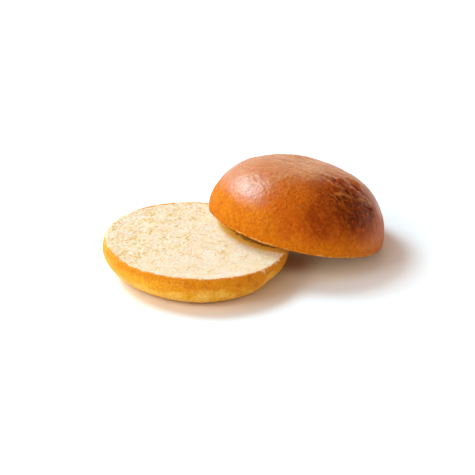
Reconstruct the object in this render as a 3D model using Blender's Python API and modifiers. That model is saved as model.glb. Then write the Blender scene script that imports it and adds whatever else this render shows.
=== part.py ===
"""A burger bun, cut through and set out ready to fill. The heel lies cut face up on its flat
underside. The crown leans on the heel's edge, cut face down, with its far rim on the table."""

import math

import bpy
from mathutils import Matrix, Vector, noise

# The bun, in metres and degrees. The origin is on the table, on the heel's flat underside and
# below the middle of its cut. +X points to the side where the crown comes down to the table.
OVAL = 0.0005
OVAL_HEADING = 30.0
RIM_RAGGED = 0.0004

# The heel: its height at the middle, and how far its cut face falls for each metre along X and Y.
# It rose unevenly: its cut face lies a little to one side of its foot, and one side has a dent,
# where it baked against another bun.
HEEL_RADIUS = 0.0550
CUT_SHIFT = Vector((0.0003, 0.0008, 0.0))
FOOT_SHIFT = Vector((-0.0020, 0.0007, 0.0))
HEEL_HEIGHT = 0.0190
HEEL_FALL_X = 0.043
HEEL_FALL_Y = -0.014
HEEL_BELLY = 0.0008
HEEL_BELLY_HEIGHT = 0.0142
HEEL_ROUNDNESS = 1.74
BASE_RADIUS = 0.0407
BASE_OVAL = 0.0024
BASE_OVAL_HEADING = 96.0
BASE_FADE = 3.0
DENT = 0.0018
DENT_HEADING = -62.0
DENT_WIDTH = 9.0

# The crown: the dome's height over its cut face, and how full its shoulder and its top are.
CROWN_RADIUS = 0.0544
CROWN_HEIGHT = 0.0394
CROWN_BELLY = 0.0005
CROWN_BELLY_HEIGHT = 0.0030
SHOULDER_FULLNESS = 2.76
TOP_FULLNESS = 1.86

# How the crown lies: its reach is from the origin to its rim's lowest point. It rides on a few
# proud crumbs of the heel's edge, and its weight flattens its own rim a little on the table.
CROWN_REACH = 0.1197
CROWN_RIDE = 0.0003
RIM_FLAT = 0.0003
GAP = 0.0003
EDGE_PRESS = 0.005
FOOT_FLAT = 0.0001

# Relief of the browned skin: swells all over, and creases where one shoulder of the crown shrank
# as it cooled. A crease is the X and Y of its middle on the crown, its heading, how far it runs
# each way and its depth. Finer creases fill the same patch, and a second patch on the far side.
SWELL = 0.0006
SWELL_LENGTH = 0.024
LUMP = 0.00022
LUMP_LENGTH = 0.009
CREASE_WIDTH = 0.0023
CREASES = (
    (0.000, -0.021, -46.0, 0.006, 0.0006),
    (0.0075, -0.027, -45.0, 0.007, 0.0014),
    (0.0180, -0.025, -34.0, 0.008, 0.0013),
    (0.0110, -0.034, -30.0, 0.006, 0.0010),
    (-0.005, -0.035, -41.0, 0.012, 0.0006),
    (0.0250, -0.035, -20.0, 0.006, 0.0009),
)
FINE_CREASE = 0.0007
FINE_CREASE_WIDTH = 0.0062
FINE_CREASE_LENGTH = 0.020
FINE_CREASE_HEADING = -37.0
FINE_CREASE_BEND = 0.0035
FINE_CREASE_SHARPNESS = 2.6
CREASED_PATCH = Vector((0.009, -0.029, 0.0))
FAR_PATCH = Vector((-0.006, 0.024, 0.0))
PATCH_RADIUS = 0.021

# Relief of the cut crumb: it only goes in from the plane of the cut, in waves and torn hollows
# drawn out along the knife's stroke, and it comes up flush to the crust around it.
CRUMB_WAVE = 0.0005
CRUMB_WAVE_LENGTH = 0.017
CRUMB_TEAR = 0.0004
CRUMB_TEAR_WIDTH = 0.0065
CRUMB_TEAR_LENGTH = 0.014
KNIFE_HEADING = 40.0
CRUMB_FLUSH = 0.008
RIM_WAVE = 0.008

# Each half is turned finely, made uneven, and then thinned to this share of its faces.
STEPS_AROUND = 150
SPACING = 0.0015
CROWN_KEPT = 0.26
HEEL_KEPT = 0.30

CRUST_COLOUR = (0.52, 0.19, 0.035, 1.0)
PALE_CRUST_COLOUR = (0.68, 0.37, 0.10, 1.0)
CRUST_ROUGHNESS = 0.42
TINY = 1e-6


def clear_scene():
    for old in list(bpy.data.objects):
        bpy.data.objects.remove(old, do_unlink=True)


def bread_material(name, colour):
    material = bpy.data.materials.new(name)
    material.use_nodes = True
    shader = material.node_tree.nodes["Principled BSDF"]
    shader.inputs["Base Color"].default_value = colour
    shader.inputs["Roughness"].default_value = CRUST_ROUGHNESS
    shader.inputs["Metallic"].default_value = 0.0
    return material


def evenly_spaced(curve, spacing, samples=400):
    """Points at equal steps along curve, a function from 0..1 to (radius, height)."""
    fine = [Vector(curve(i / samples)) for i in range(samples + 1)]
    travelled = [0.0]
    for before, after in zip(fine, fine[1:]):
        travelled.append(travelled[-1] + (after - before).length)
    count = max(1, round(travelled[-1] / spacing))
    points, at = [], 0
    for step in range(count + 1):
        wanted = travelled[-1] * step / count
        while at < samples and travelled[at] < wanted - TINY:
            at += 1
        points.append(fine[at])
    return points


def rounded_quarter(wide, narrow, low, high, across, up):
    """A superellipse quarter from (narrow, high) round to (wide, low)."""

    def curve(share):
        turn = share * math.pi / 2
        radius = narrow + (wide - narrow) * math.sin(turn) ** (2 / across)
        height = low + (high - low) * math.cos(turn) ** (2 / up)
        return radius, height

    return curve


def straight(start, end):
    return lambda share: (start[0] + (end[0] - start[0]) * share, start[1] + (end[1] - start[1]) * share)


def joined(*runs):
    """One profile from runs of points that meet end to end."""
    profile = list(runs[0])
    for run in runs[1:]:
        profile.extend(run[1:])
    return profile


def crown_profile():
    widest = CROWN_RADIUS + CROWN_BELLY
    dome = rounded_quarter(widest, 0.0, CROWN_BELLY_HEIGHT, CROWN_HEIGHT, SHOULDER_FULLNESS, TOP_FULLNESS)
    tuck = straight((widest, CROWN_BELLY_HEIGHT), (CROWN_RADIUS, 0.0))
    cut = straight((CROWN_RADIUS, 0.0), (0.0, 0.0))
    return joined(*(evenly_spaced(run, SPACING) for run in (dome, tuck, cut)))


def heel_profile():
    widest = HEEL_RADIUS + HEEL_BELLY
    cut = straight((0.0, HEEL_HEIGHT), (HEEL_RADIUS, HEEL_HEIGHT))
    shoulder = straight((HEEL_RADIUS, HEEL_HEIGHT), (widest, HEEL_BELLY_HEIGHT))

    def side(share):
        turn = share * math.pi / 2
        radius = BASE_RADIUS + (widest - BASE_RADIUS) * math.cos(turn) ** (2 / HEEL_ROUNDNESS)
        height = HEEL_BELLY_HEIGHT * (1 - math.sin(turn) ** (2 / HEEL_ROUNDNESS))
        return radius, height

    base = straight((BASE_RADIUS, 0.0), (0.0, 0.0))
    upper = joined(*(evenly_spaced(run, SPACING) for run in (cut, shoulder, side)))
    return joined(upper, evenly_spaced(base, 4 * SPACING))


def settle_modifier(obj):
    """Makes what the object's modifier gives into its own mesh."""
    plain = obj.data
    bpy.context.view_layer.update()
    graph = bpy.context.evaluated_depsgraph_get()
    obj.data = bpy.data.meshes.new_from_object(obj.evaluated_get(graph))
    obj.modifiers.clear()
    bpy.data.meshes.remove(plain)


def turned(name, profile, collection):
    """The profile, which runs down the outer side, turned about Z into a closed mesh object."""
    mesh = bpy.data.meshes.new(name)
    mesh.from_pydata([(p[0], 0.0, p[1]) for p in profile], [(i, i + 1) for i in range(len(profile) - 1)], [])
    obj = bpy.data.objects.new(name, mesh)
    collection.objects.link(obj)
    screw = obj.modifiers.new("turn", "SCREW")
    screw.axis = "Z"
    screw.angle = math.tau
    screw.steps = STEPS_AROUND
    screw.render_steps = STEPS_AROUND
    screw.use_merge_vertices = True
    screw.merge_threshold = 1e-5
    settle_modifier(obj)
    return obj


def thin_out(obj, kept):
    """Leaves this share of the faces, most of them where the surface bends."""
    decimate = obj.modifiers.new("thin out", "DECIMATE")
    decimate.ratio = kept
    settle_modifier(obj)


def oval(angle, amount, heading):
    return amount * math.cos(2 * (angle - math.radians(heading)))


def dent(angle):
    """How far the heel's side is pressed in at this angle about its middle."""
    away = (math.degrees(angle) - DENT_HEADING) / DENT_WIDTH
    return DENT * math.exp(-(away**2))


def wavy(point, length, seed):
    """Smooth noise from -1 to 1, whose swells are about this far apart."""
    return noise.noise(point / length + Vector((seed, 2.7 * seed, -1.3 * seed)))


def along(point, heading, length, width):
    """The point in units of length along the heading and of width across it."""
    turned_back = Matrix.Rotation(-math.radians(heading), 3, "Z") @ point
    return Vector((turned_back.x / length, turned_back.y / width, turned_back.z / width))


def patch(point, middle):
    """1 in the middle of a round patch of the crown's top, falling smoothly to 0."""
    away = math.hypot(point.x - middle.x, point.y - middle.y) / PATCH_RADIUS
    return math.exp(-(away**4))


def creases(point):
    """Depth of the creases: each is a valley that is deepest at its middle."""
    bend = Vector((0.0, FINE_CREASE_BEND, 0.0)) * wavy(point, 5 * FINE_CREASE_BEND, 4)
    depth = 0.0
    for x, y, heading, reach, middle_depth in CREASES:
        place = along(point + 0.5 * bend - Vector((x, y, point.z)), heading, reach, CREASE_WIDTH)
        depth += middle_depth * math.exp(-(place.x**4) - place.y**2)
    folds = noise.noise(along(point + bend, FINE_CREASE_HEADING, FINE_CREASE_LENGTH, FINE_CREASE_WIDTH))
    valley = max(0.0, 1 - abs(folds) * FINE_CREASE_SHARPNESS)
    return depth + FINE_CREASE * max(patch(point, CREASED_PATCH), patch(point, FAR_PATCH)) * valley


def skin_swell(point, seed):
    return SWELL * wavy(point, SWELL_LENGTH, seed) + LUMP * wavy(point, LUMP_LENGTH, seed + 5)


def crumb_depth(point, inset, seed):
    """How far the torn crumb lies in from the plane of the cut, at this distance from its rim."""
    wave = 0.5 + 0.5 * wavy(point, CRUMB_WAVE_LENGTH, seed)
    dragged = along(point, KNIFE_HEADING, CRUMB_TEAR_LENGTH, CRUMB_TEAR_WIDTH)
    tear = max(0.0, noise.noise(dragged + Vector((seed, 0.0, 1.7))))
    return (CRUMB_WAVE * wave + CRUMB_TEAR * tear) * min(1.0, inset / CRUMB_FLUSH)


def crown_lean():
    """The crown's tilt: from its rim on the table up to where it lies on the heel's edge."""
    edge_height = HEEL_HEIGHT - HEEL_FALL_X * HEEL_RADIUS + CROWN_RIDE
    return math.atan2(edge_height, CROWN_REACH - HEEL_RADIUS)


def crown_placing():
    lean = crown_lean()
    middle = Vector((CROWN_REACH - CROWN_RADIUS * math.cos(lean), 0.0, CROWN_RADIUS * math.sin(lean)))
    return Matrix.Translation(middle) @ Matrix.Rotation(lean, 4, "Y")


def shape_crown(crown):
    """The turned crown made uneven, in its own frame, where its cut lies in the plane Z = 0."""
    mesh = crown.data
    normals = [vertex.normal.copy() for vertex in mesh.vertices]
    for vertex, normal in zip(mesh.vertices, normals):
        point = vertex.co.copy()
        radius = math.hypot(point.x, point.y)
        angle = math.atan2(point.y, point.x)
        outward = Vector((math.cos(angle), math.sin(angle), 0.0))
        vertex.co += outward * oval(angle, OVAL, OVAL_HEADING) * radius / CROWN_RADIUS
        if point.z > TINY:
            vertex.co += normal * (skin_swell(point, 11) - creases(point))
        elif radius > CROWN_RADIUS - TINY:
            vertex.co += outward * (skin_swell(point, 11) + RIM_RAGGED * wavy(point, RIM_WAVE, 21))
            vertex.co.z += RIM_RAGGED * wavy(point, RIM_WAVE, 23)
        else:
            vertex.co.z += crumb_depth(point, CROWN_RADIUS - radius, 31)


def set_down_crown(crown):
    """Sets the crown down on the table, and flattens its rim where that would go in."""
    placing = crown_placing()
    lowest = min((placing @ vertex.co).z for vertex in crown.data.vertices)
    placing = Matrix.Translation((0.0, 0.0, -lowest - RIM_FLAT)) @ placing
    lifted = placing.inverted()
    for vertex in crown.data.vertices:
        at = placing @ vertex.co
        if at.z < 0.0:
            vertex.co = lifted @ Vector((at.x, at.y, 0.0))
    crown.location = placing.to_translation()
    crown.rotation_euler = placing.to_euler()
    return placing


def shape_heel(heel, crown_at):
    """The turned heel made uneven, with its sloping cut, its flat underside and the pressed edge."""
    mesh = heel.data
    normals = [vertex.normal.copy() for vertex in mesh.vertices]
    above = crown_at.inverted()
    for vertex, normal in zip(mesh.vertices, normals):
        point = vertex.co.copy()
        radius = math.hypot(point.x, point.y)
        angle = math.atan2(point.y, point.x)
        outward = Vector((math.cos(angle), math.sin(angle), 0.0))
        height = point.z / HEEL_HEIGHT
        rim_oval = oval(angle, OVAL, OVAL_HEADING) * radius / HEEL_RADIUS
        base_oval = oval(angle, BASE_OVAL, BASE_OVAL_HEADING) * radius / BASE_RADIUS
        base_dent = dent(angle) * radius / BASE_RADIUS
        vertex.co += outward * (height * rim_oval + (1 - height) * (base_oval - base_dent))
        vertex.co += height**2 * CUT_SHIFT + (1 - height**2) * FOOT_SHIFT
        vertex.co.z -= height * (HEEL_FALL_X * point.x + HEEL_FALL_Y * point.y)
        if height > 1 - TINY:
            if radius > HEEL_RADIUS - TINY:
                vertex.co += outward * (skin_swell(point, 41) + RIM_RAGGED * wavy(point, RIM_WAVE, 43))
                vertex.co.z -= RIM_RAGGED * wavy(point, RIM_WAVE, 45)
            else:
                vertex.co.z -= crumb_depth(point, HEEL_RADIUS - radius, 47)
        elif height > TINY:
            vertex.co += normal * skin_swell(point, 41) * min(1.0, BASE_FADE * height)
            vertex.co.z = max(vertex.co.z, 0.0)
        press_under(vertex, above)


def press_under(vertex, above):
    """Lowers a point of the heel's edge to just under the crown's cut face."""
    under = above @ vertex.co
    if under.z > -GAP and math.hypot(under.x, under.y) < CROWN_RADIUS + CROWN_BELLY + EDGE_PRESS:
        vertex.co.z -= under.z + GAP


def flatten_foot(heel, above):
    """Brings the thinned heel's underside back into its plane, and its edge back under the crown."""
    for vertex in heel.data.vertices:
        press_under(vertex, above)
        if vertex.co.z < FOOT_FLAT:
            vertex.co.z = 0.0


def main():
    clear_scene()
    bun = bpy.data.collections.new("burger_bun")
    bpy.context.scene.collection.children.link(bun)

    crown = turned("crown", crown_profile(), bun)
    shape_crown(crown)
    thin_out(crown, CROWN_KEPT)
    crown_at = set_down_crown(crown)
    crown.data.materials.append(bread_material("brown_crust", CRUST_COLOUR))

    heel = turned("heel", heel_profile(), bun)
    shape_heel(heel, crown_at)
    thin_out(heel, HEEL_KEPT)
    flatten_foot(heel, crown_at.inverted())
    heel.data.materials.append(bread_material("pale_crust", PALE_CRUST_COLOUR))

    for half in (heel, crown):
        half.data.shade_smooth()
        half.data.set_sharp_from_angle(angle=math.radians(50))


main()
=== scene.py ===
import math

import bpy
import numpy as np
from mathutils import Matrix, Vector, noise


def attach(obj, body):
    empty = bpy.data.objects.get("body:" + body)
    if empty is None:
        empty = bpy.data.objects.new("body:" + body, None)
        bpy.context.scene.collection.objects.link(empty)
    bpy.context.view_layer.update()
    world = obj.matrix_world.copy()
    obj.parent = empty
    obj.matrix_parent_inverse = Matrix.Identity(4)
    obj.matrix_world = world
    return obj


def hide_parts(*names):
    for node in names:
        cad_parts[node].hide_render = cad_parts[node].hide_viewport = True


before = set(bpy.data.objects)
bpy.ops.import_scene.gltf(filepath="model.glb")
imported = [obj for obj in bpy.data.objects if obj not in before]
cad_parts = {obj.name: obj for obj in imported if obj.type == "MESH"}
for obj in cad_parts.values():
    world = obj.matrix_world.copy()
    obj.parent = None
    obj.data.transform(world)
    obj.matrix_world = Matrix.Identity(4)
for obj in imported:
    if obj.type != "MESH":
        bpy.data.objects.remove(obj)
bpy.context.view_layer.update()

# The camera
# It stands about a metre off on the side of the cut, a little above the bun, with a long lens.
# That keeps both halves nearly free of perspective, as in a catalogue picture.
camera_data = bpy.data.cameras.new("camera")
camera_data.sensor_width = 36
camera_data.lens = 120.46
camera_data.clip_start = 0.05
camera = bpy.data.objects.new("camera", camera_data)
camera.location = (-0.38493, -0.75992, 0.42058)
line_of_sight = Vector((0.02739, 0.00081, 0.01355)) - camera.location
camera.rotation_euler = line_of_sight.to_track_quat("-Z", "Y").to_euler()
bpy.context.scene.collection.objects.link(camera)
bpy.context.scene.camera = camera


# The heel's bread
# The heel is the lower half: a soft open crumb inside a thin crust, baked flat on a tray and cut
# across just under the widest part. It lies with its cut face up, which falls a little to one side.
HEEL_SKIN = 0.00084  # the size of the skin's faces; those of the cut are half as large
HEEL_CUT_HEIGHT = 0.0190  # at the middle
HEEL_CUT_FALL = (0.043, -0.014)  # per metre along X and along Y
HEEL_CUT_LAYER = 0.004  # how far under the plane of the cut its uneven face may lie
HEEL_FINE_LAYER = 0.0045  # how far under that plane the faces are divided in four
KNIFE_HEADING = 36  # degrees from X
FAR_END = (-0.88, 0.475)  # the way from the crown to the far end of the heel
OPEN_SIDE = (-0.45, 0.55)  # the way to where the pores are widest
HANGING_CRUMBS = (-58, 20)  # degrees round the rim: the middle and the spread of crumbs that hang over
RIM_WIDTH = 0.0012
RIM_SECTORS = 240
MILLIMETRES = 1000  # the materials read depths in millimetres

# Long torn pores: the X and Y of the middle, the heading in degrees, how far each reaches both ways
# from there and half its width.
HEEL_TEARS = (
    (-0.0265, 0.0260, 35, 0.0075, 0.0009),
    (-0.0325, 0.0355, 35, 0.0035, 0.0009),
    (-0.0155, 0.0255, 10, 0.0030, 0.0006),
    (0.0040, 0.0110, 5, 0.0034, 0.0006),
    (-0.0060, 0.0005, 30, 0.0044, 0.0006),
    (-0.0230, -0.0035, 20, 0.0021, 0.0007),
    (-0.0410, 0.0200, 0, 0.0052, 0.0007),
    (-0.0230, 0.0380, 50, 0.0046, 0.0008),
    (-0.0095, 0.0410, 25, 0.0030, 0.0006),
    (-0.0335, 0.0055, 25, 0.0018, 0.0008),
    (-0.0030, 0.0215, 50, 0.0040, 0.0006),
    (-0.0235, -0.0340, 45, 0.0030, 0.0005),
)


def take_up(obj):
    bpy.ops.object.select_all(action="DESELECT")
    obj.select_set(True)
    bpy.context.view_layer.objects.active = obj


def settle(obj, kind, **settings):
    """Gives the piece one modifier and applies it."""
    modifier = obj.modifiers.new(kind.lower(), kind)
    for name, value in settings.items():
        setattr(modifier, name, value)
    take_up(obj)
    bpy.ops.object.modifier_apply(modifier=modifier.name)


def bread_from(node, name, skin):
    """A copy of one half, closed, with a fine even skin that can be worked."""
    bread = bpy.data.objects.new(name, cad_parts[node].data.copy())
    bpy.context.scene.collection.objects.link(bread)
    bread.data.materials.clear()
    take_up(bread)
    bpy.ops.object.mode_set(mode="EDIT")
    bpy.ops.mesh.select_all(action="SELECT")
    bpy.ops.mesh.remove_doubles(threshold=1e-6)
    bpy.ops.object.mode_set(mode="OBJECT")
    settle(bread, "REMESH", mode="VOXEL", voxel_size=skin)
    settle(bread, "SMOOTH", factor=0.5, iterations=3)
    return bread


def read(data, key, width, kind=float):
    values = np.empty(len(data) * width, kind)
    data.foreach_get(key, values)
    return values.reshape(-1, width) if width > 1 else values


def places(obj):
    return read(obj.data.vertices, "co", 3)


def facings(obj):
    return read(obj.data.vertices, "normal", 3)


def corners_of(obj):
    """The point at each corner of each face, and where each face's corners start."""
    corners = read(obj.data.loops, "vertex_index", 1, int)
    return corners, read(obj.data.polygons, "loop_start", 1, int)


def make_finer(obj, chosen):
    """Divides the chosen faces in four."""
    take_up(obj)
    bpy.context.tool_settings.mesh_select_mode = (False, False, True)
    bpy.ops.object.mode_set(mode="EDIT")
    bpy.ops.mesh.select_all(action="DESELECT")
    bpy.ops.object.mode_set(mode="OBJECT")
    obj.data.polygons.foreach_set("select", chosen)
    bpy.ops.object.mode_set(mode="EDIT")
    bpy.ops.mesh.subdivide(number_cuts=1)
    bpy.ops.object.mode_set(mode="OBJECT")


def ramp(value, start, end):
    """From 0 at the start to 1 at the end, eased at both."""
    share = np.clip((value - start) / (end - start), 0, 1)
    return share * share * (3 - 2 * share)


def bell(value, width):
    """1 where the value is 0, and nearly 0 two widths from there."""
    return np.exp(-((value / width) ** 2))


def uneven(at, size, seed):
    """Smooth noise from about -1 to 1, whose swells are this far apart."""
    shift = Vector((seed, 1.7 * seed, -2.3 * seed))
    return np.array([noise.noise(Vector(point) / size + shift) for point in at])


def keep(obj, name, values):
    """Keeps one number for each point, for the materials."""
    attribute = obj.data.attributes.new("bread_" + name, "FLOAT", "POINT")
    attribute.data.foreach_set("value", values.astype(np.float32))


def group_of(obj, name, shares):
    """A vertex group with these shares, for modifiers."""
    steps = 20
    group = obj.vertex_groups.new(name=name)
    levels = np.clip(np.round(shares * steps), 0, steps).astype(int)
    for level in range(1, steps + 1):
        members = np.flatnonzero(levels == level)
        if len(members):
            group.add(members.tolist(), level / steps, "REPLACE")


def reach_of_rim(points):
    """The reach of the outermost point in each sector round the middle."""
    angle, radius = np.arctan2(points[:, 1], points[:, 0]), np.hypot(points[:, 0], points[:, 1])
    sectors = ((angle + math.pi) / math.tau * RIM_SECTORS).astype(int) % RIM_SECTORS
    reach = np.zeros(RIM_SECTORS)
    np.maximum.at(reach, sectors, radius)
    return reach


def inset_from_rim(points, reach):
    """How far each point lies inside a rim of this reach."""
    angle, radius = np.arctan2(points[:, 1], points[:, 0]), np.hypot(points[:, 0], points[:, 1])
    middles = (np.arange(RIM_SECTORS) + 0.5) / RIM_SECTORS * math.tau - math.pi
    return np.interp(angle, middles, reach, period=math.tau) - radius


def strokes(at, marks):
    """The strongest share of any mark at each point: 1 along its middle line, 0 well beside it."""
    share = np.zeros(len(at))
    for x, y, heading, reach, half_width in marks:
        turn = math.radians(heading)
        right, ahead = at[:, 0] - x, at[:, 1] - y
        run = (right * math.cos(turn) + ahead * math.sin(turn)) / reach
        aside = (ahead * math.cos(turn) - right * math.sin(turn)) / half_width
        share = np.maximum(share, np.exp(-(run**4) - aside**2))
    return share


def grain(name, kind, size, **settings):
    texture = bpy.data.textures.new(name, kind)
    texture.noise_scale = size
    for key, value in settings.items():
        setattr(texture, key, value)
    return texture


def lie_of(heading, stretch, tilt=0.0):
    """A grid for textures whose X runs along the heading and is drawn out by the stretch."""
    lie = bpy.data.objects.new("lie", None)
    bpy.context.scene.collection.objects.link(lie)
    lie.rotation_euler = (0.0, tilt, math.radians(heading))
    lie.scale = (stretch, 1.0, 1.0)
    bpy.context.view_layer.update()
    return lie


def work_surface(obj, *layers):
    """Moves the skin along its normals, layer by layer.

    A layer is its texture, how deep it goes, the grey of the texture that stays in place, the vertex
    group and, where the texture is drawn out, the grid that it lies on.
    """
    for texture, depth, middle, group, *lie in layers:
        settings = {"texture": texture, "strength": depth, "mid_level": middle, "vertex_group": group}
        settings["texture_coords"] = "OBJECT" if lie else "LOCAL"
        if lie:
            settings["texture_coords_object"] = lie[0]
        settle(obj, "DISPLACE", **settings)


def sunk(obj, before, out):
    """How far the work has pressed each point in, in millimetres."""
    return np.einsum("ij,ij->i", before - places(obj), out) * MILLIMETRES


def stand_on_table(obj):
    """Keeps the worked skin out of the table."""
    at = places(obj)
    at[:, 2] = np.maximum(at[:, 2], 0)
    obj.data.vertices.foreach_set("co", at.ravel())
    obj.data.update()


def under_heel_cut(at):
    return HEEL_CUT_HEIGHT - HEEL_CUT_FALL[0] * at[:, 0] - HEEL_CUT_FALL[1] * at[:, 1] - at[:, 2]


heel = bread_from("heel", "heel_bread", HEEL_SKIN)
corners, starts = corners_of(heel)
first = corners[starts]
shallow = under_heel_cut(places(heel))[first] < HEEL_FINE_LAYER
make_finer(heel, shallow & (facings(heel)[first, 2] > -0.2))

# The crumb reaches further down over the rim at the far end and where crumbs hang over it.
at, out = places(heel), facings(heel)
cut_depth = under_heel_cut(at)
crumbly = bell(np.degrees(np.arctan2(at[:, 1], at[:, 0])) - HANGING_CRUMBS[0], HANGING_CRUMBS[1])
far_end = ramp(at[:, :2] @ FAR_END, 0.030, 0.050)
on_cut = ramp(out[:, 2] + 0.22 * far_end + 0.30 * crumbly, 0.30, 0.6) * (cut_depth < HEEL_CUT_LAYER)
group_of(heel, "cut", on_cut)
settle(heel, "SMOOTH", factor=0.5, iterations=20, vertex_group="cut")

at, out = places(heel), facings(heel)
heel_inset = inset_from_rim(at, reach_of_rim(at[on_cut > 0.5]))
ragged_inset = heel_inset + 0.0007 * uneven(at, 0.0022, 3) + 0.0014 * crumbly * uneven(at, 0.0014, 4)
heel_crumb = on_cut * ramp(ragged_inset, -0.0004, 0.0004)
to_open_side = ramp(at[:, :2] @ OPEN_SIDE, -0.030, 0.035)
openness = np.clip(0.45 + 0.55 * to_open_side + 0.35 * uneven(at, 0.009, 5), 0.2, 1)
tears = heel_crumb * strokes(at, HEEL_TEARS)
at_back = ramp(at[:, 1], -0.005, 0.040) * (1 - far_end)

# The inset is kept smaller at the back and at the far end, where the golden edge is wider.
keep(heel, "crumb", heel_crumb)
keep(heel, "inset", (ragged_inset - 0.0016 * at_back - 0.0007 * far_end) * MILLIMETRES)
keep(heel, "open", openness)
group_of(heel, "crumb", heel_crumb)
group_of(heel, "open crumb", heel_crumb * openness)
group_of(heel, "torn", tears)
group_of(heel, "crust", 1 - ramp(out[:, 2], 0.2, 0.5) * (cut_depth < HEEL_CUT_LAYER))
group_of(heel, "rim", bell(heel_inset, RIM_WIDTH) * (cut_depth < 0.003))

knife_lie = lie_of(KNIFE_HEADING, 1.5)
soft_waves = grain("soft waves", "CLOUDS", 0.0018, noise_depth=2)
large_pores = grain("large pores", "VORONOI", 0.0025, contrast=4.5, intensity=2.55)
small_pores = grain("small pores", "VORONOI", 0.0014, contrast=3.0, intensity=2.1)
ragged_tear = grain("ragged tear", "CLOUDS", 0.0011, contrast=2.0)
crust_lumps = grain("crust lumps", "CLOUDS", 0.0042, noise_depth=2)
crust_skin = grain("crust skin", "CLOUDS", 0.0014, noise_depth=1)
work_surface(
    heel,
    (soft_waves, 0.00008, 0.7, "crumb", knife_lie),
    (large_pores, 0.00009, 1.0, "open crumb", knife_lie),
    (small_pores, 0.00007, 1.0, "open crumb"),
    (ragged_tear, 0.00018, 1.0, "torn"),
    (crust_lumps, 0.0004, 0.6, "crust"),
    (crust_skin, 0.0002, 0.6, "crust"),
    (ragged_tear, 0.0003, 0.7, "rim"),
)
keep(heel, "pits", sunk(heel, at, out) + 0.10 * tears)
stand_on_table(heel)


# The crumb
# The crumb is a cream sponge of flour, egg and butter with pores of about a millimetre. Light goes
# a little way in. Its pores are painted warm ochre, the deepest darker as painted shade, so they
# look warm and not grey. The cut crust edges it in gold.
class Paint:
    """Short calls for the nodes of one material, one node group or the room."""

    def __init__(self, tree):
        self.nodes, self.links = tree.nodes, tree.links

    def feed(self, **values):
        """Gives each named socket of the main shader a number, a colour or the output of a node."""
        for name, value in values.items():
            self.give(self.nodes["Principled BSDF"].inputs[name.replace("_", " ")], value)

    def give(self, socket, value):
        if isinstance(value, bpy.types.NodeSocket):
            self.links.new(value, socket)
        else:
            socket.default_value = value

    def place(self):
        return self.nodes.new("ShaderNodeTexCoord").outputs["Object"]

    def parts(self, vector):
        node = self.nodes.new("ShaderNodeSeparateXYZ")
        self.give(node.inputs["Vector"], vector)
        return node.outputs["X"], node.outputs["Y"], node.outputs["Z"]

    def joined(self, *parts):
        node = self.nodes.new("ShaderNodeCombineXYZ")
        for socket, part in zip(node.inputs, parts):
            self.give(socket, part)
        return node.outputs["Vector"]

    def reading(self, name):
        """What keep stored for the points of the bread."""
        node = self.nodes.new("ShaderNodeAttribute")
        node.attribute_name = "bread_" + name
        return node.outputs["Fac"]

    def noise(self, place, size, detail=4.0, roughness=0.55, distortion=0.0):
        """Noise whose spots are about this far apart, in metres."""
        node = self.nodes.new("ShaderNodeTexNoise")
        self.give(node.inputs["Vector"], place)
        for name, value in (("Scale", 1 / size), ("Detail", detail), ("Roughness", roughness),
                            ("Distortion", distortion)):
            self.give(node.inputs[name], value)
        return node.outputs["Fac"]

    def between(self, value, start, end, low=0.0, high=1.0):
        """Low up to the start and high from the end on, eased between them."""
        node = self.nodes.new("ShaderNodeMapRange")
        node.interpolation_type = "SMOOTHSTEP"
        for name, number in (("Value", value), ("From Min", start), ("From Max", end),
                             ("To Min", low), ("To Max", high)):
            self.give(node.inputs[name], number)
        return node.outputs["Result"]

    def patches(self, place, size, start, end, low=0.0, high=1.0, detail=4.0):
        """Soft patches about this far apart: low where the noise is weak, high where it is strong."""
        return self.between(self.noise(place, size, detail), start, end, low, high)

    def reckon(self, operation, *values):
        """Takes the values into one, two at a time and in their order."""
        total = values[0]
        for value in values[1:]:
            node = self.nodes.new("ShaderNodeMath")
            node.operation = operation
            self.give(node.inputs[0], total)
            self.give(node.inputs[1], value)
            total = node.outputs["Value"]
        return total

    def total(self, *values):
        return self.reckon("ADD", *values)

    def times(self, *values):
        return self.reckon("MULTIPLY", *values)

    def largest(self, *values):
        return self.reckon("MAXIMUM", *values)

    def away_from(self, point, place):
        node = self.nodes.new("ShaderNodeVectorMath")
        node.operation = "DISTANCE"
        self.give(node.inputs[0], place)
        self.give(node.inputs[1], point)
        return node.outputs["Value"]

    def over(self, colour, tint, share):
        """The colour with this share of the tint over it."""
        node = self.nodes.new("ShaderNodeMix")
        node.data_type = "RGBA"
        for socket, value in zip((node.inputs[0], node.inputs[6], node.inputs[7]), (share, colour, tint)):
            self.give(socket, value)
        return node.outputs[2]

    def bump(self, height, distance, strength=1.0):
        node = self.nodes.new("ShaderNodeBump")
        for name, value in (("Height", height), ("Distance", distance), ("Strength", strength)):
            self.give(node.inputs[name], value)
        return node.outputs["Normal"]


def new_material(name):
    material = bpy.data.materials.new(name)
    material.use_nodes = True
    return material, Paint(material.node_tree)


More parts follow.
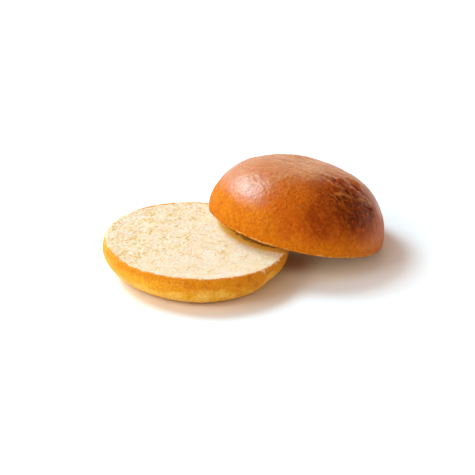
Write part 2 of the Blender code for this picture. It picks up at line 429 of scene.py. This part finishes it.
def crumb_material():
    cream, butter, painted_light_cream = (0.74, 0.615, 0.48, 1), (0.73, 0.56, 0.37, 1), (0.88, 0.76, 0.58, 1)
    ochre, pit_ochre_and_shade, golden = (0.63, 0.36, 0.08, 1), (0.62, 0.31, 0.05, 1), (0.64, 0.25, 0.02, 1)
    painted_shade_ochre, painted_shadow_brown = (0.80, 0.42, 0.05, 1), (0.26, 0.10, 0.01, 1)
    material, paint = new_material("crumb")
    place = paint.place()
    y = paint.parts(place)[1]
    colour = paint.over(cream, butter, paint.patches(place, 0.009, 0.35, 0.7))

    # How far each point lies under the crown's edge, and at the front near that edge the crumb painted
    # paler: painted light against the shadow the crown casts there.
    crown_shade = paint.total(paint.reading("crown_shade"), paint.noise(place, 0.0014, 3.0), -0.5)
    at_front = paint.between(y, -0.036, -0.022, 1.0, 0.0)
    painted_lightening = paint.times(paint.between(crown_shade, -1.2, -0.1, 0.0, 0.8), at_front)
    colour = paint.over(colour, painted_light_cream, painted_lightening)

    # Pores in loose clusters; deep pits and tears a darker ochre, partly their colour and partly painted
    # shade; and the edge where the crust was cut.
    openness = paint.largest(paint.reading("open"), painted_lightening)
    spots = paint.patches(place, 0.0016, 0.46, 0.60, detail=2.0)
    clusters = paint.patches(place, 0.006, 0.40, 0.60, 0.2, 1.0)
    colour = paint.over(colour, ochre, paint.times(spots, clusters, openness))
    colour = paint.over(colour, pit_ochre_and_shade, paint.between(paint.reading("pits"), 0.05, 0.14, 0.0, 0.8))
    ragged = paint.total(paint.reading("inset"), paint.times(paint.noise(place, 0.003), -1.4))
    colour = paint.over(colour, golden, paint.between(ragged, -0.3, 0.7, 1.0, 0.0))
    # Painted shade under the crown's edge: warm ochre where the crown's shadow falls, and deeper under it a
    # painted dark brown shadow line.
    for start, end, share, tint in (
        (0.05, 0.55, 0.35, painted_shade_ochre),
        (0.40, 0.80, 0.95, painted_shade_ochre),
        (1.28, 1.46, 0.8, painted_shadow_brown),
    ):
        colour = paint.over(colour, tint, paint.between(crown_shade, start, end, 0.0, share))

    paint.feed(Base_Color=colour, Normal=paint.bump(paint.noise(place, 0.0008), 0.0003, 0.25))
    paint.feed(Roughness=0.85, Specular_IOR_Level=0.2)
    paint.feed(Subsurface_Weight=1.0, Subsurface_Radius=(0.0030, 0.0019, 0.0010), Subsurface_Scale=1.0)
    return material


crumb = crumb_material()


# The heel's crust
# Its side browned less than the crown: orange just under the cut, straw yellow towards the tray,
# with floury patches where it touched its neighbours. The underside has the same crust.
def baked_skin_group():
    """Fine pebbles and broader swells of a baked skin, as one height."""
    group = bpy.data.node_groups.new("baked skin", "ShaderNodeTree")
    group.interface.new_socket("Place", in_out="INPUT", socket_type="NodeSocketVector")
    group.interface.new_socket("Height", in_out="OUTPUT", socket_type="NodeSocketFloat")
    paint = Paint(group)
    place = group.nodes.new("NodeGroupInput").outputs["Place"]
    pebbles = paint.noise(place, 0.0018, 2.0)
    swells = paint.times(paint.noise(place, 0.004, 2.0), 0.8)
    group.links.new(paint.total(pebbles, swells), group.nodes.new("NodeGroupOutput").inputs["Height"])
    return group


baked_skin = baked_skin_group()


def skin_relief(paint, place, distance):
    """The normal of a crust whose pebbles stand this far out."""
    skin = paint.nodes.new("ShaderNodeGroup")
    skin.node_tree = baked_skin
    paint.give(skin.inputs["Place"], place)
    return paint.bump(skin.outputs["Height"], distance)


def heel_crust_material():
    orange, straw = (0.67, 0.242, 0.004, 1), (0.80, 0.41, 0.020, 1)
    brown, flour = (0.48, 0.125, 0.004, 1), (0.86, 0.53, 0.10, 1)
    material, paint = new_material("heel_crust")
    place = paint.place()
    x, y, z = paint.parts(place)
    lying = paint.joined(x, y, paint.times(z, 1.8))
    banks = paint.times(paint.total(paint.noise(lying, 0.016), -0.5), 0.022)
    height = paint.total(z, banks)
    colour = paint.over(straw, orange, paint.between(height, 0.006, 0.013))
    to_far_end = paint.between(x, -0.050, -0.028, 0.7, 0.0)
    colour = paint.over(colour, straw, paint.times(to_far_end, paint.between(z, 0.0145, 0.0190, 1.0, 0.0)))
    browned = paint.times(
        paint.patches(lying, 0.007, 0.48, 0.64),
        paint.between(height, 0.007, 0.014, 0.0, 0.75),
        paint.between(x, -0.045, -0.015, 0.3, 1.0),
    )
    colour = paint.over(colour, brown, browned)
    floury = paint.patches(lying, 0.011, 0.41, 0.53, 0.0, 0.9)
    colour = paint.over(colour, flour, paint.times(floury, paint.between(height, 0.005, 0.012, 1.0, 0.0)))
    colour = paint.over(colour, brown, paint.patches(place, 0.0013, 0.42, 0.64, 0.0, 0.32, detail=2.0))
    colour = paint.over(colour, flour, paint.patches(place, 0.0021, 0.52, 0.68, 0.0, 0.18, detail=3.0))
    paint.feed(Base_Color=colour, Roughness=paint.patches(place, 0.005, 0.3, 0.7, 0.45, 0.62))
    paint.feed(Normal=skin_relief(paint, place, 0.0006), Specular_IOR_Level=0.1)
    return material


def dress(bread, skin):
    """Crust all over, and crumb on the faces of the cut."""
    least_crumb = 0.3
    bread.data.materials.append(skin)
    bread.data.materials.append(crumb)
    share = read(bread.data.attributes["bread_crumb"].data, "value", 1, np.float32)
    corners, starts = corners_of(bread)
    means = np.add.reduceat(share[corners], starts) / np.diff(np.append(starts, len(corners)))
    bread.data.polygons.foreach_set("material_index", (means > least_crumb).astype(int))
    take_up(bread)
    bpy.ops.object.shade_smooth()


dress(heel, heel_crust_material())
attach(heel, "root")
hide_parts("heel")


# The crown's bread
# The crown is the domed upper half, brushed with egg before baking. It lies cut face down: one side
# of its rim rests on the heel and the other on the table, and its shoulder creased as it cooled.
CROWN_SKIN = 0.00061  # the size of the skin's faces
CROWN_LEAN = math.radians(14.67)
CROWN_MIDDLE = Vector((0.0671, 0.0, 0.0136))
CROWN_CUT_LAYER = 0.004  # how far over the plane of the cut its uneven face may lie
CREASE_HEADING = -37  # degrees from X
SHOULDER = (0.009, -0.029)  # the middle of the creased patch
SHOULDER_REACH = 0.021
TOP_PATCH = (-0.004, 0.002)  # the middle of a fainter one on the top
TOP_PATCH_REACH = (0.030, 0.018)  # along X and along Y
CROWN_SHADE_FROM = 0.0045  # how far under the crown's edge the painted shade on the heel's cut starts
CROWN_SHADE_SPREAD = 0.0060

# Wrinkles of the shoulder, given as the tears of the heel are, on the crown as it was baked: proud
# folds, thin cracks and hollows. Then pinholes and scars: the place of the middle and the radius.
RIDGES = (
    (0.0105, -0.0190, -25, 0.0026, 0.0012),
    (0.0140, -0.0215, -40, 0.0032, 0.0013),
    (0.0160, -0.0260, -95, 0.0036, 0.0013),
    (0.0185, -0.0280, 25, 0.0034, 0.0013),
    (0.0200, -0.0165, -50, 0.0032, 0.0012),
    (0.0225, -0.0200, -65, 0.0026, 0.0012),
    (0.0235, -0.0235, -80, 0.0026, 0.0012),
    (0.0015, -0.0345, 5, 0.0039, 0.0013),
    (0.0065, -0.0355, -25, 0.0030, 0.0013),
    (0.0185, -0.0345, 25, 0.0050, 0.0013),
    (0.0250, -0.0325, 0, 0.0030, 0.0013),
    (0.0000, -0.0245, -75, 0.0036, 0.0013),
    (0.0025, -0.0280, -35, 0.0026, 0.0013),
)
CRACKS = (
    (-0.0125, -0.0310, -45, 0.0024, 0.0004),
    (-0.0100, -0.0330, -45, 0.0018, 0.0004),
    (-0.0045, -0.0340, -50, 0.0030, 0.0004),
    (-0.0020, -0.0375, -60, 0.0032, 0.0004),
    (0.0010, -0.0410, -40, 0.0021, 0.0004),
)
TROUGHS = (
    (0.0095, -0.0245, -70, 0.0036, 0.0014),
    (0.0195, -0.0235, -45, 0.0034, 0.0014),
    (0.0145, -0.0325, -35, 0.0021, 0.0012),
    (0.0230, -0.0360, 15, 0.0048, 0.0012),
    (0.0105, -0.0295, -50, 0.0022, 0.0012),
    (0.0055, -0.0195, -70, 0.0026, 0.0008),
)
SCARS = (
    (-0.0385, -0.0355, 0.0150, 0.0009),
    (-0.0350, -0.0335, 0.0220, 0.0007),
    (-0.0365, -0.0010, 0.0325, 0.0009),
    (-0.0120, 0.0040, 0.0390, 0.0010),
    (-0.0075, 0.0025, 0.0395, 0.0008),
    (-0.0140, -0.0075, 0.0385, 0.0010),
    (-0.0125, -0.0095, 0.0390, 0.0008),
    (-0.0300, -0.0100, 0.0345, 0.0007),
    (0.0040, -0.0480, 0.0210, 0.0007),
    (0.0250, -0.0430, 0.0200, 0.0008),
    (0.0350, 0.0200, 0.0280, 0.0009),
    (0.0080, 0.0400, 0.0300, 0.0008),
)

crown_lies = Matrix.Translation(CROWN_MIDDLE) @ Matrix.Rotation(CROWN_LEAN, 4, "Y")
stand = np.array(crown_lies.inverted())


def as_baked(points):
    """Points of the leaning crown as if it still sat level on its cut."""
    return points @ stand[:3, :3].T + stand[:3, 3]


crown = bread_from("crown", "crown_bread", CROWN_SKIN)
at, out = places(crown), facings(crown)
level, level_out = as_baked(at), out @ stand[:3, :3].T
near_cut, on_top = level[:, 2] < CROWN_CUT_LAYER, level[:, 2] > 0.01
on_cut = ramp(-level_out[:, 2], 0.45, 0.8) * near_cut
crown_rim = reach_of_rim(level[on_cut > 0.5])
crown_inset = inset_from_rim(level, crown_rim)
crown_crumb = on_cut * ramp(crown_inset + 0.0007 * uneven(at, 0.0022, 7), 0.0002, 0.0010)
openness = np.clip(0.7 + 0.5 * uneven(at, 0.009, 9), 0.2, 1)
from_shoulder = np.hypot(*(level[:, :2] - SHOULDER).T) / SHOULDER_REACH
from_crown_top = np.hypot(*((level[:, :2] - TOP_PATCH) / TOP_PATCH_REACH).T)
creased = np.maximum(np.exp(-(from_shoulder**4)), 0.5 * np.exp(-(from_crown_top**4))) * on_top
wavering = np.stack([uneven(at, 0.005, 11), uneven(at, 0.005, 13), np.zeros(len(at))], axis=1)
ridges, cracks, troughs = (
    strokes(level + 0.0006 * wavering, marks) * on_top for marks in (RIDGES, CRACKS, TROUGHS)
)
scars = np.zeros(len(level))
for x, y, z, radius in SCARS:
    scars = np.maximum(scars, bell(np.linalg.norm(level - (x, y, z), axis=1), radius))
keep(crown, "crumb", crown_crumb)
keep(crown, "inset", crown_inset * MILLIMETRES)
keep(crown, "open", openness)
keep(crown, "folds", ridges + cracks - troughs - 0.45 * scars)
group_of(crown, "crumb", crown_crumb)
group_of(crown, "open crumb", crown_crumb * openness)
group_of(crown, "crust", 1 - ramp(-level_out[:, 2], 0.2, 0.5) * near_cut)
group_of(crown, "creased", creased)
group_of(crown, "ridges", ridges + 0.4 * cracks)
group_of(crown, "troughs", troughs)
group_of(crown, "scars", scars)
group_of(crown, "rim", bell(level[:, 2], RIM_WIDTH) * (crown_inset < 0.001))

work_surface(
    crown,
    (soft_waves, 0.00012, 0.7, "crumb", knife_lie),
    (large_pores, 0.00018, 1.0, "open crumb", knife_lie),
    (small_pores, 0.00015, 1.0, "open crumb"),
)
keep(crown, "pits", sunk(crown, at, out))
crease_lie = lie_of(CREASE_HEADING, 2.6, CROWN_LEAN)
fine_creases = grain("fine creases", "CLOUDS", 0.0028, noise_depth=2, contrast=1.4)
fold = grain("fold", "CLOUDS", 0.0060)
work_surface(
    crown,
    (crust_lumps, 0.0004, 0.65, "crust"),
    (crust_skin, 0.0002, 0.6, "crust"),
    (fine_creases, 0.0004, 0.6, "creased", crease_lie),
    (fold, 0.0018, 0.0, "ridges"),
    (fold, -0.0018, 0.0, "troughs"),
    (fold, -0.0005, 0.0, "scars"),
    (ragged_tear, 0.0003, 0.6, "rim"),
)
bpy.data.objects.remove(knife_lie)
bpy.data.objects.remove(crease_lie)
stand_on_table(crown)

# How far each point of the heel's cut lies under the crown's edge, for the painted shade there: from -2,
# which is none, outside the crown's edge to 2 far under it. The crown itself gets no painted shade.
below = as_baked(places(heel))
under_crown = inset_from_rim(below, crown_rim) + 0.0016 * uneven(below, 0.003, 15)
keep(heel, "crown_shade", np.clip((under_crown - CROWN_SHADE_FROM) / CROWN_SHADE_SPREAD, -2, 2))
keep(crown, "crown_shade", np.full(len(level), -2.0))


# The crown's crust
# The egg wash gives it a soft gloss. It is deep brown on top and over the creased shoulder, and
# runs through orange to gold at its lower edge, where the oven reached it last.
def mapped(paint, place, turn, middle=(0.0, 0.0, 0.0), kind="POINT"):
    node = paint.nodes.new("ShaderNodeMapping")
    node.vector_type = kind
    for name, value in (("Vector", place), ("Rotation", turn), ("Location", middle)):
        paint.give(node.inputs[name], value)
    return node.outputs["Vector"]


def crown_crust_material():
    gold, orange, brown = (0.59, 0.168, 0.003, 1), (0.50, 0.104, 0.003, 1), (0.45, 0.132, 0.008, 1)
    russet, dark, tan = (0.29, 0.045, 0.002, 1), (0.125, 0.019, 0.002, 1), (0.56, 0.20, 0.035, 1)
    light_streak, pale_band, painted_fold_sheen = (0.66, 0.27, 0.06, 1), (0.64, 0.28, 0.08, 1), (0.52, 0.20, 0.05, 1)
    painted_glint, bare_crumb = (0.56, 0.18, 0.03, 1), (0.80, 0.48, 0.13, 1)
    material, paint = new_material("crown_crust")
    place = paint.place()
    level = mapped(paint, place, (0.0, CROWN_LEAN, 0.0), CROWN_MIDDLE, "TEXTURE")
    x, y, z = paint.parts(level)
    upright = paint.joined(x, y, paint.times(z, 0.45))
    wander = paint.times(paint.total(paint.noise(upright, 0.006), -0.5), 0.022)
    height, behind = paint.total(z, wander), paint.total(y, wander)

    def blotch(colour, tint, middle, near, far):
        """The tint round one place on the crown, all of it up to near and none from far on."""
        away = paint.total(paint.away_from(middle, level), paint.times(wander, 0.5))
        return paint.over(colour, tint, paint.between(away, near, far, 1.0, 0.0))

    # The brown top, with orange swells and a lighter patch.
    top = paint.times(paint.between(behind, -0.032, -0.004), paint.between(height, 0.016, 0.030))
    colour = paint.over(orange, brown, top)
    swells = paint.patches(place, 0.020, 0.40, 0.62, 0.0, 0.55)
    colour = paint.over(colour, orange, paint.times(swells, top))
    colour = blotch(colour, tan, (-0.005, -0.014, 0.038), 0.002, 0.018)

    # Fine crackle of the top, light and dark, drawn out along one heading.
    along, across, up = paint.parts(mapped(paint, level, (0.0, 0.0, math.radians(34))))
    drawn_out = paint.joined(paint.times(along, 0.4), across, up)
    crackle = paint.noise(drawn_out, 0.0030, 5.0, 0.6, 0.9)
    on_crown = paint.times(
        top,
        paint.between(height, 0.028, 0.036),
        paint.patches(place, 0.009, 0.40, 0.58, 0.25, 1.0),
        paint.between(x, -0.026, -0.002, 0.4, 1.0),
    )
    light = paint.times(on_crown, paint.between(crackle, 0.47, 0.60, 0.0, 0.8))
    colour = paint.over(colour, light_streak, light)
    bands = paint.times(on_crown, paint.patches(drawn_out, 0.0075, 0.50, 0.62, 0.0, 0.6, detail=3.0))
    colour = paint.over(colour, pale_band, bands)
    deep = paint.times(on_crown, paint.between(crackle, 0.36, 0.47, 0.8, 0.0))
    colour = paint.over(colour, russet, deep)

    # The dark shoulder, and gold along the lower edge and at the left.
    colour = blotch(colour, russet, (0.008, -0.038, 0.030), 0.017, 0.033)
    colour = blotch(colour, russet, (-0.015, -0.046, 0.020), 0.007, 0.016)
    colour = blotch(colour, dark, (0.007, -0.042, 0.028), 0.008, 0.019)
    colour = blotch(colour, dark, (0.018, -0.040, 0.027), 0.005, 0.015)
    colour = paint.over(colour, gold, paint.between(height, 0.003, 0.014, 1.0, 0.0))
    at_left = paint.between(paint.total(x, wander), -0.048, -0.032, 1.0, 0.0)
    colour = paint.over(colour, gold, paint.times(at_left, paint.between(height, 0.014, 0.026, 1.0, 0.0)))

    # Mottles and speckles of the skin with painted glints among them, then painted sheen on the folds and
    # cracks and painted shade in the hollows and scars.
    for tint, size, start, end, share, detail in (
        (orange, 0.0035, 0.46, 0.64, 0.45, 4.0),
        (russet, 0.0021, 0.44, 0.62, 0.32, 2.0),
        (painted_glint, 0.0026, 0.52, 0.66, 0.22, 3.0),
    ):
        colour = paint.over(colour, tint, paint.patches(place, size, start, end, 0.0, share, detail))
    folds = paint.reading("folds")
    colour = paint.over(colour, painted_fold_sheen, paint.between(folds, 0.3, 1.0, 0.0, 0.6))
    # Painted shade in the troughs and scars.
    colour = paint.over(colour, dark, paint.between(folds, -0.9, -0.1, 0.7, 0.0))

    # Crumb shows here and there along the cut edge.
    ragged_edge = paint.total(z, paint.times(paint.noise(place, 0.002), -0.003))
    fringe = paint.times(
        paint.between(ragged_edge, -0.0012, 0.0004, 0.6, 0.0),
        paint.patches(place, 0.0045, 0.46, 0.60, detail=2.0),
    )
    colour = paint.over(colour, bare_crumb, fringe)

    # Egg wash: thick on top, thinner to the right, and little of it in the hollows.
    rightward = paint.times(paint.largest(x, 0.0), 0.5)
    brushed = paint.times(
        paint.between(paint.total(behind, rightward), -0.032, -0.012), paint.between(z, 0.013, 0.023)
    )
    to_right = paint.between(x, 0.0, 0.032, 0.0, 0.38)
    glaze = paint.times(paint.largest(brushed, to_right), paint.between(folds, -0.7, -0.1, 0.15, 1.0))
    paint.feed(Base_Color=colour, Normal=skin_relief(paint, place, 0.0009))
    paint.feed(Roughness=0.6, Specular_IOR_Level=0.04)
    paint.feed(Coat_Weight=glaze, Coat_Roughness=0.40, Coat_IOR=1.6)
    paint.feed(Coat_Normal=paint.bump(paint.noise(place, 0.0012, 2.0), 0.00012))
    return material


dress(crown, crown_crust_material())
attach(crown, "root")
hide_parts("crown")


# The table and the light
# A white table, lit so brightly that only the shadows round the bun show. Close beside the bun it is
# painted a little warmer, a painted warm bounce in the shadows, and at one spot under the crown's edge
# it is painted brown, a painted contact shadow. The main light is a softbox high behind the bun to the
# left; bright walls behind it and at both sides fill the shadows.
MIDDLE_OF_BUN = Vector((0.03, 0.0, 0.03))
LAMP_DISTANCE = 2.5
WALL_BASE = 0.11  # the strength of the room between its bright walls

bpy.ops.mesh.primitive_plane_add(size=6, location=(0, 0, 0))
table = bpy.context.object
table.name = "table"
surface, paint = new_material("white_table")
on_table = paint.place()
# Painted warm bounce beside the bun and a painted brown contact shadow under the crown's edge.
white, painted_warm_bounce, painted_contact_shadow = (0.90, 0.92, 0.96, 1), (0.88, 0.83, 0.77, 1), (0.50, 0.27, 0.15, 1)
table_colour = white
for tint, middle, near, far in (
    (painted_warm_bounce, (0.006, -0.008, 0.0), 0.048, 0.067),
    (painted_warm_bounce, (0.072, -0.004, 0.0), 0.044, 0.060),
    (painted_contact_shadow, (0.0535, -0.0190, 0.0), 0.004, 0.022),
):
    beside = paint.between(paint.away_from(middle, on_table), near, far, 1.0, 0.0)
    table_colour = paint.over(table_colour, tint, beside)
paint.feed(Base_Color=table_colour, Roughness=0.6)
table.data.materials.append(surface)


def softbox(name, toward, size, energy, colour):
    """A square lamp that stands in this direction from the bun and faces it."""
    lamp = bpy.data.lights.new(name, "AREA")
    lamp.size = size
    lamp.energy = energy
    lamp.color = colour
    holder = bpy.data.objects.new(name, lamp)
    holder.location = MIDDLE_OF_BUN + LAMP_DISTANCE * Vector(toward).normalized()
    holder.rotation_euler = (MIDDLE_OF_BUN - holder.location).to_track_quat("-Z", "Y").to_euler()
    bpy.context.scene.collection.objects.link(holder)


softbox("back_softbox", (-0.304, 0.652, 0.695), size=1.1, energy=73, colour=(0.66, 0.90, 1.0))
softbox("left_softbox", (-0.83, 0.117, 0.545), size=1.4, energy=31, colour=(0.94, 1.0, 1.0))

world = bpy.data.worlds.new("white room")
world.use_nodes = True
room = Paint(world.node_tree)
around = room.nodes.new("ShaderNodeTexCoord").outputs["Generated"]


def wall(toward, edge, full, strength):
    """A bright part of the room round this direction, from its edge to where it is at full strength."""
    facing = room.nodes.new("ShaderNodeVectorMath")
    facing.operation = "DOT_PRODUCT"
    room.give(facing.inputs[0], around)
    room.give(facing.inputs[1], Vector(toward).normalized())
    return room.between(facing.outputs["Value"], edge, full, 0.0, strength)


behind = wall((0.34, 0.93, 0.15), edge=0.55, full=0.95, strength=1.25)
to_the_right = wall((0.87, -0.50, 0.0), edge=0.6, full=0.95, strength=1.3)
to_the_left = wall((-0.85, -0.45, 0.30), edge=0.5, full=0.9, strength=1.4)
background = room.nodes["Background"]
room.give(background.inputs["Strength"], room.total(WALL_BASE, behind, to_the_right, to_the_left))
room.give(background.inputs["Color"], (1, 0.80, 0.66, 1))
bpy.context.scene.world = world
bpy.context.scene.view_settings.view_transform = "Standard"
